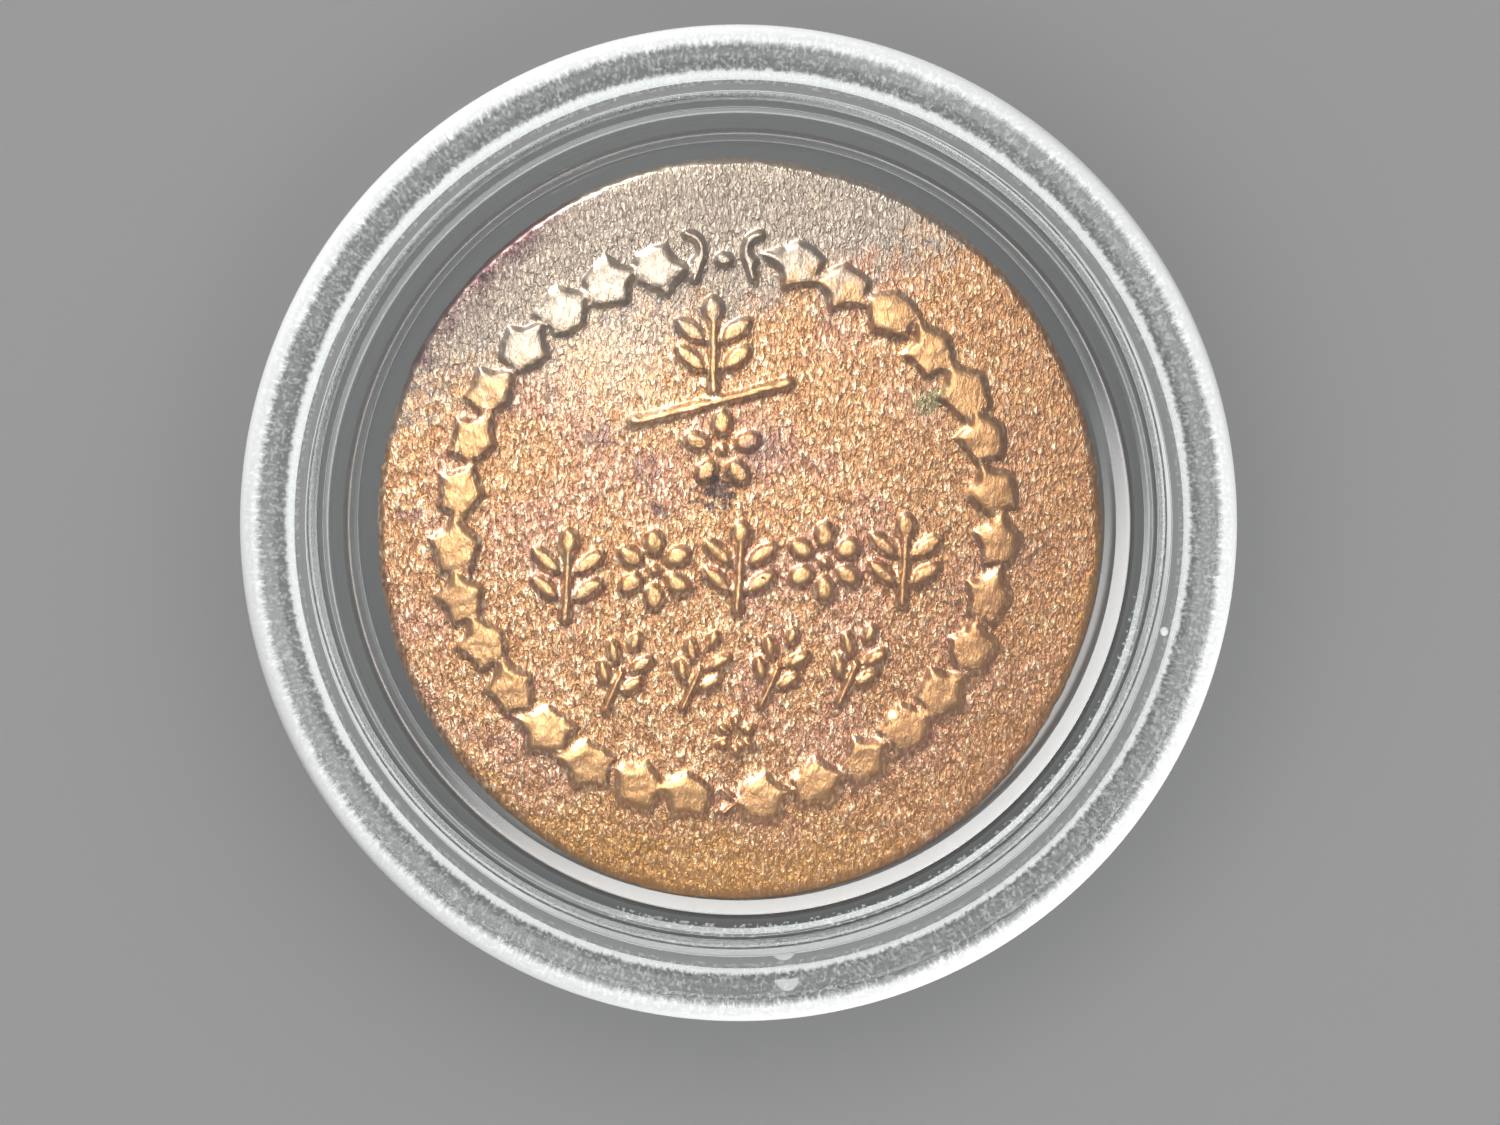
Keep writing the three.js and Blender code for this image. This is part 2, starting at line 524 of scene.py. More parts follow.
@dataclass(frozen=True)
class StruckCopper:
    """Old struck copper: rubbed high spots, a granular field, and patina from silver grey to dark.

    The field glitters in short upright grains with pale glints painted on their ridges, the high spots are
    an even tan, the top of the coin is silvery, its bottom is golden, and dark blots lie where moisture sat.
    Painted shade darkens the coin towards the right, and a painted sheen lightens its upper left.
    """

    middle: Vector
    high_from: float
    high_to: float
    orange: str = "#B6865B"
    pink: str = "#B3846D"
    tan: str = "#AD8255"
    pit: str = "#7C4A2C"
    glint: str = "#FBE6C4"
    grain_width: float = 0.1
    grain_length: float = 0.22
    grain_depth: float = 0.1
    grain_turn: float = -0.12
    patches_per_mm: float = 0.42
    tatters_per_mm: float = 1.6
    speckles_per_mm: float = 3.2
    high_grain: float = 0.22
    wall_facing: float = 0.87
    flat_facing: float = 0.97
    metallic: float = 0.85
    wall_roughness: float = 0.33
    flat_roughness: float = 0.43
    patina_and_shade_zones: tuple[PatinaOrShadeZone, ...] = (
        # painted shade: this brown zone darkens the coin towards the right
        PatinaOrShadeZone("#8A5F3A", (1.0, -0.12, 0.0), 2.0, 1.0, 10.0, 0.55),
        PatinaOrShadeZone("#8A837A", (-0.3, 1.0, 0.0), 6.0, 8.2, 10.6, 0.8),
        PatinaOrShadeZone("#9F7336", (-0.15, -1.0, 0.0), 5.0, 9.6, 13.0, 0.75),
        PatinaOrShadeZone("#9F7336", (0.97, -0.25, 0.0), 1.2, 10.3, 11.0, 0.6),
        PatinaOrShadeZone("#533438", (-0.74, 0.67, 0.0), 2.5, 10.6, 11.7, 0.85),
    )
    stains_and_sheen: tuple[StainOrSheen, ...] = (
        # painted sheen: this pale patch lightens the coin's upper left
        StainOrSheen(-3.6, 4.7, 3.0, "#F0CFAE", 0.35),
        StainOrSheen(-0.6, 1.1, 0.8, "#2E262C", 0.85),
        StainOrSheen(-2.3, 0.6, 0.4, "#3A2C34", 0.7),
        StainOrSheen(-4.0, 2.6, 0.8, "#5E4450", 0.55),
        StainOrSheen(-2.6, 1.7, 0.6, "#5E4450", 0.5),
        StainOrSheen(0.6, 2.3, 0.9, "#6E5058", 0.5),
        StainOrSheen(5.5, 3.7, 0.6, "#6E6A48", 0.85),
        StainOrSheen(5.5, 3.62, 0.18, "#2E3024", 0.95),
        StainOrSheen(-7.6, 7.4, 0.42, "#2A1E24", 1.0),
        StainOrSheen(-5.1, -0.9, 0.55, "#8C8462", 0.6),
        StainOrSheen(-9.4, 0.4, 0.5, "#6A5560", 0.5),
    )

    def material(self) -> Material:
        """Builds the material.

        Returns:
            Worn copper with its patina.
        """
        material, tree = new_material("copper_struck_worn")
        add = partial(add_node, tree)
        spot = add("TexCoord").outputs["Object"]
        middle = [-c / MM for c in self.middle]
        place = add("Mapping", {0: spot, "Location": middle, "Scale": [1 / MM] * 3})
        depth = add("SeparateXYZ", {0: place}).outputs["Z"]
        height = add("Math", {0: depth}, operation="ABSOLUTE")
        grain_place = add(
            "Mapping",
            {
                0: place,
                "Rotation": (0, 0, self.grain_turn),
                "Scale": (1 / self.grain_width, 1 / self.grain_length, 1 / self.grain_length),
            },
        )
        grain = add("TexNoise", {"Vector": grain_place, "Scale": 1.0, "Detail": 3.0, "Distortion": 0.6})
        colour = self.patina(tree, place, height, grain)
        field = add(
            "MapRange",
            {
                "Value": height,
                "From Min": self.high_from,
                "From Max": self.high_to,
                "To Min": 1,
                "To Max": self.high_grain,
            },
        )
        facing = add("NewGeometry").outputs["Normal"]
        facing = add("SeparateXYZ", {0: facing}).outputs["Z"]
        facing = add("Math", {0: facing}, operation="ABSOLUTE")
        level = add(
            "MapRange", {"Value": facing, "From Min": self.wall_facing, "From Max": self.flat_facing}
        )
        rough = add("Math", {0: field, 1: level}, operation="MULTIPLY")
        relief = add("Math", {0: grain, 1: rough}, operation="MULTIPLY")
        bump = add("Bump", {"Height": relief, "Distance": self.grain_depth * MM})
        polish = add(
            "MapRange",
            {"Value": level, "To Min": self.wall_roughness, "To Max": self.flat_roughness},
        )
        metal = add(
            "BsdfPrincipled",
            {"Base Color": colour, "Metallic": self.metallic, "Roughness": polish, "Normal": bump},
        )
        add("OutputMaterial", {"Surface": metal})
        return material

    def patina(self, tree: Tree, place: Source, height: Source, grain: Source) -> Source:
        """Colours the copper: patina, tan high spots and dark blots, with painted shade towards the right
        and a painted sheen at the upper left.

        Args:
            tree: the node tree.
            place: the place on the coin, in millimetres from its middle.
            height: the distance from the coin's middle plane, in millimetres.
            grain: the field's grain, from 0 in its pits to 1 on its ridges.

        Returns:
            The colour.
        """
        add = partial(add_node, tree)
        patches = add("TexNoise", {"Vector": place, "Scale": self.patches_per_mm, "Detail": 3.0})
        ragged = add(
            "TexNoise", {"Vector": place, "Scale": self.tatters_per_mm, "Detail": 5.0, "Roughness": 0.65}
        )
        colour = laid_over(tree, linear(self.orange), self.pink, patches, 0.46, 0.62, 0.75)
        colour = laid_over(tree, colour, self.pit, grain, 0.5, 0.34, 0.8)
        colour = laid_over(tree, colour, self.glint, grain, 0.53, 0.68, 0.75)
        colour = laid_over(tree, colour, self.tan, height, self.high_from, self.high_to, 0.85)
        # patina, and the painted shade that darkens the coin towards the right
        for patina_or_shade in self.patina_and_shade_zones:
            along = add("VectorMath", {0: place, 1: patina_or_shade.towards}, operation="DOT_PRODUCT")
            edge = add(
                "Math", {0: ragged, 1: patina_or_shade.wander, 2: along.outputs["Value"]}, operation="MULTIPLY_ADD"
            )
            colour = laid_over(tree, colour, patina_or_shade.colour, edge, patina_or_shade.start, patina_or_shade.full, patina_or_shade.strength)
        speckle = add(
            "TexNoise", {"Vector": place, "Scale": self.speckles_per_mm, "Detail": 5.0, "Roughness": 0.7}
        )
        # dark blots where moisture sat, and the painted sheen at the upper left
        for stain_or_sheen in self.stains_and_sheen:
            centre = (stain_or_sheen.x, stain_or_sheen.y, self.high_to)
            away = add("VectorMath", {0: place, 1: centre}, operation="DISTANCE")
            blot = add(
                "Math",
                {0: speckle, 1: stain_or_sheen.radius * 4, 2: away.outputs["Value"]},
                operation="MULTIPLY_ADD",
            )
            full, start = stain_or_sheen.radius * 2.3, stain_or_sheen.radius * 2.9
            colour = laid_over(tree, colour, stain_or_sheen.colour, blot, start, full, stain_or_sheen.strength)
        return colour


@dataclass(frozen=True)
class PaleCard:
    """The plain pale card that the capsule lies on."""

    colour: str = "#F4F4F4"
    roughness: float = 0.9

    def material(self) -> Material:
        """Builds the material.

        Returns:
            Matt pale grey card.
        """
        return even_material(
            "pale_card_matt", {"Base Color": linear(self.colour), "Roughness": self.roughness}
        )


# ---------------------------------------------------------------- the capsule


@dataclass(frozen=True)
class Names:
    """What one half is called: its CAD node, the body it rides on, and the piece that stands for it."""

    node: str
    body: str
    piece: str


class Half(Enum):
    """The two halves of the capsule."""

    BACK = Names("back_shell", "base", "back_shell_clear")
    FRONT = Names("front_shell", "lid", "front_shell_clear")


@dataclass
class CapsuleShells:
    """The two clear shells, with sizes read from the CAD where it states them."""

    clearance: float = 0.05 * MM
    window_recess: float = 0.3 * MM
    recess_top_r: float = 12.42 * MM
    recess_floor_r: float = 12.15 * MM
    window_thickness: float = 1.3 * MM
    flange_outer_round: float = 0.5 * MM
    flange_groove_round: float = 0.2 * MM
    pocket_r: float = 11.0 * MM
    pocket_wall: float = 0.6 * MM
    waist_r: float = 12.47 * MM
    waist_fillet: float = 0.3 * MM
    lead_in: float = 0.2 * MM
    pocket_fillet: float = 0.2 * MM
    wall_round: float = 0.3 * MM
    soft_edge: float = 0.05 * MM
    mark_stand: float = 0.05 * MM
    gate_r: float = 13.05 * MM
    gate_angle: float = -84.0
    gate_size: float = 0.34 * MM
    nub_r: float = 12.3 * MM
    nub_angle: float = -14.0
    nub_size: float = 0.13 * MM
    nub_flatness: float = 0.4

    def __post_init__(self) -> None:
        """Reads the outer sizes from the CAD boxes."""
        back_low, back_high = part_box(Half.BACK.value.node)
        front_low, front_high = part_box(Half.FRONT.value.node)
        self.outer_r = (back_high.x - back_low.x) / 2
        self.height = front_high.z
        self.wall_top = back_high.z
        self.sleeve_bottom = front_low.z
        self.flange = self.sleeve_bottom - self.clearance
        self.floor_z = self.window_recess + self.window_thickness
        self.ceiling_z = self.wall_top + self.clearance
        slope_z = self.height - self.window_recess / 2
        self.gate = self.around(self.gate_r, self.gate_angle, self.height - self.flange)
        self.nub = self.around(self.nub_r, self.nub_angle, slope_z)
        self.finish = CrystalPolystyrene(
            middle_z=self.height / 2 / MM,
            rim_r=(self.outer_r - self.flange_outer_round) / MM,
            fillet_r=self.waist_r / MM,
            fillet_width=self.waist_fillet / MM,
            pocket_r=self.pocket_r / MM,
            nest_r=(self.pocket_r + self.pocket_wall) / MM,
        )

    @staticmethod
    def around(r: float, degrees: float, z: float) -> Vector:
        """Turns a radius, an angle and a height into a place."""
        return Vector((r * math.cos(math.radians(degrees)), r * math.sin(math.radians(degrees)), z))

    def back_section(self) -> list[Corner]:
        """Draws the back shell's half section, from the underside of its window to the pocket floor.

        Returns:
            Its corners.
        """
        wall_r = self.pocket_r + self.pocket_wall
        return [
            Corner(0, self.window_recess),
            Corner(self.recess_floor_r, self.window_recess, self.soft_edge),
            Corner(self.recess_top_r, 0, self.soft_edge),
            Corner(self.outer_r, 0, self.flange_outer_round),
            Corner(self.outer_r, self.flange, self.flange_groove_round),
            Corner(wall_r, self.flange, self.soft_edge),
            Corner(wall_r, self.wall_top - self.lead_in * 0.75, self.soft_edge),
            Corner(wall_r - self.lead_in * 0.75, self.wall_top, self.soft_edge),
            Corner(self.pocket_r, self.wall_top, self.wall_round),
            Corner(self.pocket_r, self.floor_z, self.pocket_fillet),
            Corner(0, self.floor_z),
        ]

    def front_section(self) -> list[Corner]:
        """Draws the front shell's half section, from the pocket's ceiling round to the top of its window.

        Returns:
            Its corners.
        """
        wall_r = self.pocket_r + self.pocket_wall + self.clearance
        flange_z = self.height - self.flange
        return [
            Corner(0, self.ceiling_z),
            Corner(wall_r, self.ceiling_z, self.soft_edge),
            Corner(wall_r, self.sleeve_bottom + self.lead_in, self.soft_edge),
            Corner(wall_r + self.lead_in, self.sleeve_bottom, self.soft_edge),
            Corner(self.waist_r, self.sleeve_bottom, self.soft_edge),
            Corner(self.waist_r, flange_z, self.waist_fillet),
            Corner(self.outer_r, flange_z, self.flange_groove_round),
            Corner(self.outer_r, self.height, self.flange_outer_round),
            Corner(self.recess_top_r, self.height, self.soft_edge),
            Corner(self.recess_floor_r, self.height - self.window_recess, self.soft_edge),
            Corner(0, self.height - self.window_recess),
        ]

    def moulding_marks(self, shell: Piece) -> None:
        """Adds the gate's half-moon vestige behind the front shell's flange, and a nub on its rim's slope.

        Args:
            shell: the front shell.
        """
        outwards = self.around(1, self.gate_angle, 0)
        deselect_all()
        bpy.ops.mesh.primitive_cylinder_add(
            vertices=48,
            radius=self.gate_size,
            depth=self.mark_stand,
            location=self.gate - Vector((0, 0, self.mark_stand * 0.6)),
        )
        gate = bpy.context.object
        bpy.ops.object.transform_apply()
        bpy.ops.object.mode_set(mode="EDIT")
        bpy.ops.mesh.select_all(action="SELECT")
        bpy.ops.mesh.bisect(
            plane_co=self.gate, plane_no=outwards, use_fill=True, clear_inner=True, threshold=MERGE_DISTANCE
        )
        bpy.ops.object.mode_set(mode="OBJECT")
        deselect_all()
        bpy.ops.mesh.primitive_uv_sphere_add(
            segments=24, ring_count=12, radius=self.nub_size, location=self.nub
        )
        nub = bpy.context.object
        bpy.ops.object.transform_apply()
        edit_only(nub, "VERT", lambda vertex: vertex.co.z > self.nub.z)
        bpy.ops.transform.resize(value=(1, 1, self.nub_flatness), center_override=self.nub)
        bpy.ops.object.mode_set(mode="OBJECT")
        torn = TornPolystyrene().material()
        select_only(shell)
        for mark in (gate, nub):
            mark.data.materials.append(torn)
            mark.select_set(True)
        bpy.ops.object.join()

    def build(self) -> list[Piece]:
        """Turns both shells, dresses them and rides them on their bodies.

        Returns:
            The two pieces.
        """
        plastic = self.finish.material()
        made = []
        for half, section in ((Half.BACK, self.back_section()), (Half.FRONT, self.front_section())):
            names = half.value
            shell = Lathe().turned(names.piece, section)
            shell.data.materials.append(plastic)
            if half is Half.FRONT:
                self.moulding_marks(shell)
            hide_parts(names.node)
            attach(shell, names.body)
            made.append(shell)
        return made


@dataclass(frozen=True)
class Twig:
    """The shares of its height that a twig's parts take, and the degrees its leaves stand off the stem."""

    foot: float
    head: float
    stem: float
    bud_up: float
    bud: tuple[float, float]
    leaf: tuple[float, float]
    pairs: tuple[float, float]
    aside: float
    spread: float


SPRIG = Twig(-0.5, 0.3, 0.17, 0.36, (0.36, 0.28), (0.46, 0.25), (-0.16, 0.14), aside=0.24, spread=52)
EAR = Twig(-0.55, 0.0, 0.15, 0.44, (0.34, 0.24), (0.42, 0.25), (-0.1, 0.2), aside=0.2, spread=34)


@dataclass
class Relief:
    """Raised work for one face of the coin, modelled as flat-topped plugs that stand on its field.

    Places are in millimetres from the coin's centre, as seen with that face towards the eye.
    """

    name: str
    rise: float
    root: float = 0.3
    jitter: random.Random = field(default_factory=lambda: random.Random(7))
    made: list[Piece] = field(default_factory=list)

    def plug(
        self, width: float, height: float, sides: int = 20, wall: float = 0.16, crown: float = 0.02
    ) -> Piece:
        """Models one raised plug at the middle: upright root, sloping wall and softened crown.

        Args:
            width: its size across, at the field.
            height: its size up, at the field.
            sides: how many sides it has.
            wall: how wide its sloping wall is.
            crown: how much higher its middle is than the top of that wall.

        Returns:
            The plug, which isn't part of the relief until it is placed.
        """
        deselect_all()
        bpy.ops.mesh.primitive_cylinder_add(
            vertices=sides, radius=0.5, depth=self.root, location=(0, 0, -self.root / 2)
        )
        plug = bpy.context.object
        plug.scale = (width, height, 1)
        bpy.ops.object.transform_apply(location=True, rotation=True, scale=True)
        edit_only(plug, "FACE", lambda face: face.normal.z > 0.9)
        narrowest = min(width, height) / 2
        wall = min(wall, narrowest * 0.65)
        bpy.ops.mesh.inset(thickness=wall, depth=self.rise - crown)
        bpy.ops.mesh.inset(thickness=min(wall / 2, (narrowest - wall) * 0.7), depth=crown)
        bpy.ops.object.mode_set(mode="OBJECT")
        return plug

    def place(self, pattern: Piece, x: float, y: float, turn: float = 0.0, tilt: float = 0.0) -> Piece:
        """Copies a pattern to a place in the relief, with a mesh of its own.

        Args:
            pattern: what is copied.
            x: across.
            y: up.
            turn: how far it is turned, in degrees.
            tilt: how far its own right end is lifted, in degrees.

        Returns:
            The copy.
        """
        copy = pattern.copy()
        copy.data = pattern.data.copy()
        bpy.context.scene.collection.objects.link(copy)
        copy.data.transform(
            Matrix.Translation((x, y, 0))
            @ Matrix.Rotation(math.radians(turn), 4, "Z")
            @ Matrix.Rotation(math.radians(-tilt), 4, "Y")
        )
        self.made.append(copy)
        return copy

    def bead(self, x: float, y: float, width: float, height: float, turn: float = 0.0) -> None:
        """Adds one oval plug.

        Args:
            x: across.
            y: up.
            width: its size along its own length.
            height: its size across that.
            turn: how far it is turned, in degrees.
        """
        plug = self.plug(width, height)
        self.place(plug, x, y, turn)
        bpy.data.objects.remove(plug)

    def bar(self, start: tuple[float, float], end: tuple[float, float], width: float) -> None:
        """Adds one straight bar with round ends.

        Args:
            start: the middle of its first end.
            end: the middle of its other end.
            width: its width at the field.
        """
        run = Vector(end) - Vector(start)
        plug = self.plug(width, width)
        edit_only(plug, "VERT", lambda vertex: vertex.co.x > MERGE_DISTANCE)
        bpy.ops.transform.translate(value=(run.length, 0, 0))
        bpy.ops.object.mode_set(mode="OBJECT")
        self.place(plug, start[0], start[1], math.degrees(math.atan2(run.y, run.x)))
        bpy.data.objects.remove(plug)

    def path(self, points: list[tuple[float, float]], width: float) -> None:
        """Adds bars along a line of points."""
        for start, end in zip(points, points[1:]):
            self.bar(start, end, width)

    def arc(
        self, x: float, y: float, radius: float, width: float, span: tuple[float, float], steps: int
    ) -> None:
        """Adds bars along an arc.

        Args:
            x: its centre across.
            y: its centre up.
            radius: its radius.
            width: the bars' width.
            span: where it begins and ends, in degrees.
            steps: how many bars.
        """
        angles = [math.radians(span[0] + (span[1] - span[0]) * i / steps) for i in range(steps + 1)]
        self.path([(x + radius * math.cos(a), y + radius * math.sin(a)) for a in angles], width)

    def petals(self, x: float, y: float, size: float, count: int, turn: float = 90.0) -> None:
        """Adds oval petals round a point.

        Args:
            x: the point across.
            y: the point up.
            size: the width over the petals.
            count: how many petals.
            turn: where the first petal points, in degrees.
        """
        length, width, reach = size * 0.38, size * 0.3, size * 0.31
        petal = self.plug(length, width)
        for i in range(count):
            angle = turn + 360 * i / count
            away = math.radians(angle)
            self.place(petal, x + reach * math.cos(away), y + reach * math.sin(away), angle)
        bpy.data.objects.remove(petal)

    def twig(self, kind: Twig, x: float, y: float, height: float, lean: float) -> None:
        """Adds a twig: a stem with two pairs of leaves or grains, and a bud on top.

        Args:
            kind: its shares.
            x: its middle across.
            y: its middle up.
            height: its height.
            lean: how far it leans to the right, in degrees.
        """
        along = Vector((math.sin(math.radians(lean)), math.cos(math.radians(lean))))
        across = Vector((along.y, -along.x))
        middle = Vector((x, y))
        foot, head = middle + along * height * kind.foot, middle + along * height * kind.head
        self.bar(foot, head, height * kind.stem)
        length, width = kind.bud
        self.bead(*(middle + along * height * kind.bud_up), height * length, height * width, 90 - lean)
        length, width = kind.leaf
        for side in (-1, 1):
            for up in kind.pairs:
                spot = middle + (along * up + across * side * kind.aside) * height
                self.bead(*spot, height * length, height * width, 90 - lean - kind.spread * side)

    def leaf(self, length: float = 2.0, width: float = 1.76) -> Piece:
        """Models one leaf of the wreath, which points right: five uneven lobes, the one at the tip longer.

        Args:
            length: its size from stalk to tip.
            width: its size across.

        Returns:
            The leaf, which isn't part of the relief until it is placed.
        """
        spokes = 10
        leaf = self.plug(width, length, spokes, wall=0.24, crown=0.035)
        for i in range(spokes):
            reach = (0.79 if i % 2 else 1.0) + self.jitter.uniform(-0.12, 0.1)
            reach += 0.14 if i == 0 else 0
            spoke = Vector((0, 1)).to_3d()
            spoke.rotate(Matrix.Rotation(math.tau * i / spokes, 3, "Z"))
            spoke = Vector((spoke.x * width, spoke.y * length, 0)).normalized()
            edit_only(leaf, "VERT", lambda vertex: self.lies_along(vertex.co, spoke))
            bpy.ops.transform.resize(value=(reach, reach, 1), center_override=(0, 0, 0))
            bpy.ops.object.mode_set(mode="OBJECT")
        leaf.data.transform(Matrix.Rotation(-math.pi / 2, 4, "Z"))
        return leaf

    @staticmethod
    def lies_along(place: Vector, spoke: Vector) -> bool:
        """Says whether a place lies along a spoke, seen from above."""
        return Vector((place.x, place.y, 0)).normalized().dot(spoke) > math.cos(math.radians(12))

    def joined(self) -> Piece:
        """Joins all the raised work.

        Returns:
            One object whose solids still pass through each other.
        """
        deselect_all()
        for piece in self.made:
            piece.select_set(True)
        bpy.context.view_layer.objects.active = self.made[0]
        bpy.ops.object.join()
        return rename(bpy.context.object, self.name)


@dataclass
class Coin:
    """The struck copper coin: an uneven blank with a leaf wreath and plain ornaments on its front."""

    edge_round: float = 0.36
    front_rise: float = 0.19
    back_rise: float = 0.11
    wreath_r: float = 7.8
    wreath_centre: tuple[float, float] = (-0.35, 0.0)
    leaves_a_side: int = 15
    tie_gap: float = 8.0
    bow_gap: float = 15.0
    leaf_kinds: int = 8
    leaf_turn: float = 20.0
    leaf_tilt: tuple[float, float] = (1.0, 3.5)
    spare: float = 1.003
    outline_waves: tuple[tuple[float, int, float], ...] = ((0.0025, 3, 0.6), (0.0015, 7, 2.0))
    waviness: tuple[tuple[str, float, float], ...] = (("sag", 2.2, 0.07), ("wear", 0.36, 0.06))
    waviness_level: float = 0.75
    voxel: float = 0.06
    triangles: int = 190_000

    def __post_init__(self) -> None:
        """Reads the coin's size and place from the CAD."""
        low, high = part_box("coin")
        self.centre = (low + high) / 2
        self.width, self.length, self.thickness = (high - low) / MM
        self.field_z = self.thickness / 2 - self.front_rise
        self.finish = StruckCopper(
            self.centre, self.field_z + self.front_rise * 0.35, self.field_z + self.front_rise * 0.75
        )

    def blank(self) -> Piece:
        """Turns the blank and makes its outline a little uneven.

        Returns:
            The blank, in millimetres, with its middle at the origin.
        """
        r = self.width / 2
        back = self.back_rise - self.thickness / 2
        lathe = Lathe(segments=180, support=0.01)
        blank = lathe.turned(
            "coin_blank",
            [
                Corner(0, back),
                Corner(r, back, self.edge_round),
                Corner(r, self.field_z, self.edge_round),
                Corner(0, self.field_z),
            ],
        )
        for vertex in blank.data.vertices:
            angle = math.atan2(vertex.co.y, vertex.co.x)
            waves = (size * math.sin(count * angle + start) for size, count, start in self.outline_waves)
            spare = sum(waves, self.spare)
            vertex.co.x *= spare
            vertex.co.y *= spare * self.length / self.width
        return blank

    def wreath(self, relief: Relief) -> None:
        """Lays the two rows of leaves that rise from the tie at the bottom and meet at the bow on top.

        Args:
            relief: where they are drawn.
        """
        leaves = [relief.leaf() for _ in range(self.leaf_kinds)]
        first, last = self.tie_gap - 90, 90 - self.bow_gap
        for side in (1, -1):
            for i in range(self.leaves_a_side):
                lift = first + (last - first) * i / (self.leaves_a_side - 1)
                angle = 180 - lift if side > 0 else lift
                away = math.radians(angle + relief.jitter.uniform(-0.6, 0.6))
                r = self.wreath_r + relief.jitter.uniform(-0.09, 0.09)
                relief.place(
                    relief.jitter.choice(leaves),
                    self.wreath_centre[0] + r * math.cos(away),
                    self.wreath_centre[1] + r * math.sin(away),
                    angle - 90 * side + relief.jitter.uniform(-self.leaf_turn, self.leaf_turn),
                    relief.jitter.uniform(*self.leaf_tilt),
                )
        for leaf in leaves:
            bpy.data.objects.remove(leaf)

    def bow(self, relief: Relief) -> None:
        """Adds the bow on top of the wreath and the tie at its bottom.

        Args:
            relief: where they are drawn.
        """
        x, y = self.wreath_centre
        top, bottom = y + self.wreath_r, y - self.wreath_r
        relief.bead(x - 0.1, top - 0.05, 0.7, 0.62)
        for side in (-1, 1):
            relief.arc(x - 0.1 + side * 1.05, top + 0.25, 0.42, 0.4, (90, 90 + side * 150), 6)
            relief.bar((x - 0.1 + side * 0.62, top + 0.1), (x - 0.1 + side * 0.85, top - 0.62), 0.38)
        for side in (-1, 1):
            relief.bar((x + 0.3 - side * 0.42, bottom - 0.35), (x + 0.3 + side * 0.42, bottom + 0.3), 0.26)
        relief.bead(x + 0.3, bottom, 0.44, 0.44)

    def front_relief(self) -> Piece:
        """Draws the front: a bud, a twig and a flower on top, two rows of ornaments, and a flower below.

        Returns:
            The raised work of the front.
        """
        relief = Relief("coin_front_relief", self.front_rise)
        self.wreath(relief)
        self.bow(relief)
        relief.twig(SPRIG, -0.75, 5.35, 2.7, 0)
        relief.bar((-3.0, 3.1), (1.35, 4.2), 0.48)
        relief.bead(-3.0, 3.15, 0.62, 0.5, 14)
        relief.bead(1.35, 4.2, 0.62, 0.5, 14)
        relief.petals(-0.5, 2.3, 2.5, 5)
        relief.bead(-0.5, 2.3, 0.5, 0.5)
        row = (-4.95, -2.45, 0.0, 2.45, 4.75)
        for i, x in enumerate(row):
            y = -1.05 + 0.045 * x
            if i % 2:
                relief.petals(x, y, 2.5, 6)
                relief.bead(x, y, 0.5, 0.5)
            else:
                relief.twig(SPRIG, x, y, 2.6, 3)
        for x in (-3.4, -1.15, 1.1, 3.35):
            relief.twig(EAR, x, -4.0 + 0.03 * x, 2.2, 24)
        relief.petals(-0.1, -5.95, 1.35, 6)
        return relief.joined()

    def back_relief(self) -> Piece:
        """Draws the back: a large flower in a ring, with a ring of beads near the edge.

        Returns:
            The raised work of the back.
        """
        relief = Relief("coin_back_relief", self.back_rise)
        relief.petals(0, 0, 9.6, 8)
        relief.petals(0, 0, 4.4, 8, 112.5)
        relief.bead(0, 0, 1.5, 1.5)
        relief.arc(0, 0, 6.6, 0.36, (0, 360), 60)
        bead = relief.plug(0.66, 0.66)
        beads = 46
        for i in range(beads):
            angle = math.tau * i / beads
            relief.place(bead, 8.7 * math.cos(angle), 8.7 * math.sin(angle))
        bpy.data.objects.remove(bead)
        return relief.joined()

    def build(self) -> Piece:
        """Strikes the coin: blank and relief become one skin, which is softened and made uneven.

        Returns:
            The coin.
        """
        blank = self.blank()
        front = self.front_relief()
        back = self.back_relief()
        front.data.transform(Matrix.Translation((0, 0, self.field_z)))
        turn_over = Matrix.Rotation(math.pi, 4, "Y")
        back.data.transform(Matrix.Translation((0, 0, self.back_rise - self.thickness / 2)) @ turn_over)
        select_only(blank)
        front.select_set(True)
        back.select_set(True)
        bpy.ops.object.join()
        coin = rename(bpy.context.object, "coin_struck")
        skin = coin.modifiers.new("strike", "REMESH")
        skin.mode = "VOXEL"
        skin.voxel_size = self.voxel
        soften = coin.modifiers.new("soften", "SMOOTH")
        soften.factor = 0.5
        soften.iterations = 2
        for name, size, strength in self.waviness:
            clouds = bpy.data.textures.new(name, "CLOUDS")
            clouds.noise_scale = size
            uneven = coin.modifiers.new(name, "DISPLACE")
            uneven.texture = clouds
            uneven.strength = strength
            uneven.mid_level = self.waviness_level
        for modifier in [m.name for m in coin.modifiers]:
            bpy.ops.object.modifier_apply(modifier=modifier)
        thin = coin.modifiers.new("thin", "DECIMATE")
        thin.ratio = self.triangles / sum(len(face.vertices) - 2 for face in coin.data.polygons)
        bpy.ops.object.modifier_apply(modifier=thin.name)
        bpy.ops.object.shade_smooth()
        coin.data.transform(Matrix.Translation(self.centre) @ Matrix.Scale(MM, 4))
        coin.data.materials.clear()
        coin.data.materials.append(self.finish.material())
        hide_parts("coin")
        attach(coin, "coin")
        return coin


# ---------------------------------------------------------------- the studio


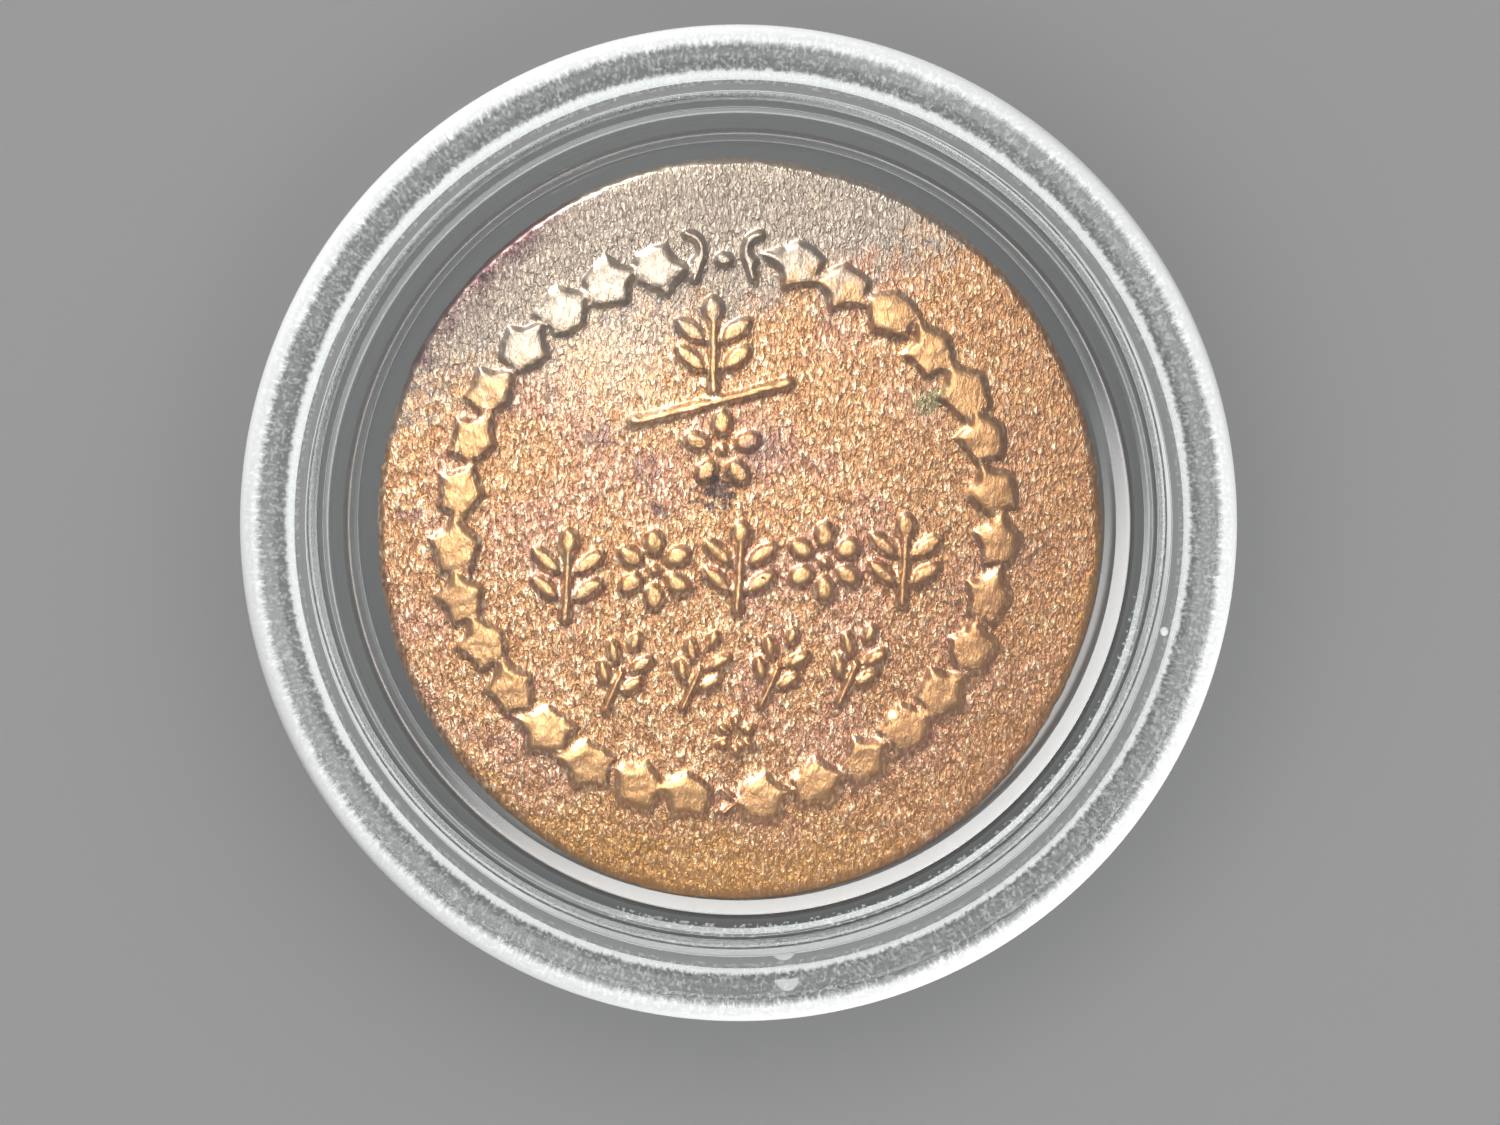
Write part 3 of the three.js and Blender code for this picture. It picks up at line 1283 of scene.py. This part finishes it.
@dataclass
class Studio:
    """The pale floor, the soft lights and the camera that looks almost straight down at the window.

    The camera leans over by the two angles of camera_lean, and aims at a place on the front window.
    """

    shells: list[Piece]
    coin: Piece
    floor_size: float = 1.6
    floor_gap: float = 0.01 * MM
    camera_distance: float = 110 * MM
    camera_lean: tuple[float, float] = (-1.0, 2.5)
    lens: float = 94.4
    aim: tuple[float, float] = (0.285 * MM, -1.02 * MM)
    key_place: Vector = field(default_factory=lambda: Vector((-0.055, 0.09, 0.07)))
    key_size: float = 0.024
    key_power: float = 0.26
    haze_power: float = 0.12
    rim_place: Vector = field(default_factory=lambda: Vector((0.1, -0.13, 0.06)))
    rim_size: float = 0.05
    rim_power: float = 0.36
    glow_place: Vector = field(default_factory=lambda: Vector((-0.0065, 0.009, 0.06)))
    glow_size: float = 0.015
    glow_power: float = 0.035
    sky_towards: tuple[float, float, float] = (-0.28, 0.46, 0.84)
    near_light: float = 0.75
    far_light: float = 0.1
    sky_from: float = 0.1
    bounces: int = 32

    def build(self) -> None:
        """Sets up everything round the capsule."""
        self.lay_floor()
        self.set_world()
        self.hang_lights()
        self.set_camera()
        self.set_rendering()

    def lay_floor(self) -> None:
        """Lays the card under the capsule, a hair below it so that the two surfaces stay apart."""
        deselect_all()
        bpy.ops.mesh.primitive_plane_add(size=self.floor_size, location=(0, 0, -self.floor_gap))
        bpy.ops.object.transform_apply()
        floor = rename(bpy.context.object, "floor_card")
        floor.data.materials.append(PaleCard().material())

    def set_world(self) -> None:
        """Makes the even light that comes from all round, brighter on the key lamp's side."""
        world = bpy.data.worlds.new("studio_light")
        bpy.context.scene.world = world
        world.use_nodes = True
        tree = world.node_tree
        tree.nodes.clear()
        add = partial(add_node, tree)
        look = add("TexCoord").outputs["Generated"]
        side = add("VectorMath", {0: look, 1: self.sky_towards}, operation="DOT_PRODUCT")
        shade = add(
            "MapRange",
            {
                "Value": side.outputs["Value"],
                "From Min": self.sky_from,
                "From Max": 1.0,
                "To Min": self.far_light,
                "To Max": self.near_light,
            },
        )
        back = add("Background", {"Strength": shade})
        add("OutputWorld", {"Surface": back})

    def hang_lights(self) -> None:
        """Hangs the softboxes, which leave the card to the even light.

        The key softbox draws the coin's relief and the glow softbox, close overhead, falls off across the
        coin. The other two whiten the shells' rubbed rims, and neither shows in or through the windows.
        """
        for name, place, size, power, lit in (
            ("key_softbox", self.key_place, self.key_size, self.key_power, [self.coin]),
            ("glow_softbox", self.glow_place, self.glow_size, self.glow_power, [self.coin]),
            ("haze_softbox", self.key_place, self.key_size, self.haze_power, self.shells),
            ("rim_softbox", self.rim_place, self.rim_size, self.rim_power, self.shells),
        ):
            lamp = self.softbox(name, place, size, power)
            lamp.visible_glossy = lamp.visible_transmission = lit is not self.shells
            receivers = bpy.data.collections.new("lit_by_" + name)
            lamp.light_linking.receiver_collection = receivers
            for piece in lit:
                receivers.objects.link(piece)

    def softbox(self, name: str, place: Vector, size: float, power: float) -> Piece:
        """Hangs one square softbox that faces the capsule.

        Args:
            name: the lamp's name.
            place: where it hangs.
            size: its side.
            power: its power in watts.

        Returns:
            The lamp.
        """
        lamp = bpy.data.lights.new(name, "AREA")
        lamp.size = size
        lamp.energy = power
        holder = bpy.data.objects.new(name, lamp)
        holder.location = place
        holder.visible_camera = False
        holder.rotation_euler = place.to_track_quat("Z", "Y").to_euler()
        bpy.context.scene.collection.objects.link(holder)
        return holder

    def set_camera(self) -> None:
        """Points the camera at the capsule."""
        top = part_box(Half.FRONT.value.node)[1].z
        target = Vector((self.aim[0], self.aim[1], top))
        across, up = (math.tan(math.radians(degrees)) for degrees in self.camera_lean)
        back = Vector((across, up, 1)).normalized()
        right = Vector((0, 1, 0)).cross(back).normalized()
        camera = bpy.data.cameras.new("camera")
        camera.lens = self.lens
        camera.clip_start = 0.001
        holder = bpy.data.objects.new("camera", camera)
        holder.location = target + back * self.camera_distance
        holder.rotation_euler = Matrix((right, back.cross(right), back)).transposed().to_euler()
        bpy.context.scene.collection.objects.link(holder)
        bpy.context.scene.camera = holder

    def set_rendering(self) -> None:
        """Lets light pass through all the nested walls, and shows colours as they are."""
        scene = bpy.context.scene
        scene.cycles.max_bounces = self.bounces
        scene.cycles.transmission_bounces = self.bounces
        scene.cycles.transparent_max_bounces = self.bounces
        scene.cycles.caustics_refractive = False
        scene.view_settings.view_transform = "Standard"


def main() -> None:
    """Builds the capsule, the coin and the studio in order."""
    logging.basicConfig(level=logging.INFO, format="%(message)s")
    shells = CapsuleShells().build()
    coin = Coin().build()
    for piece in [*shells, coin]:
        log.info("%s: %d faces", piece.name, len(piece.data.polygons))
    Studio(shells, coin).build()


if __name__ == "__main__":
    main()
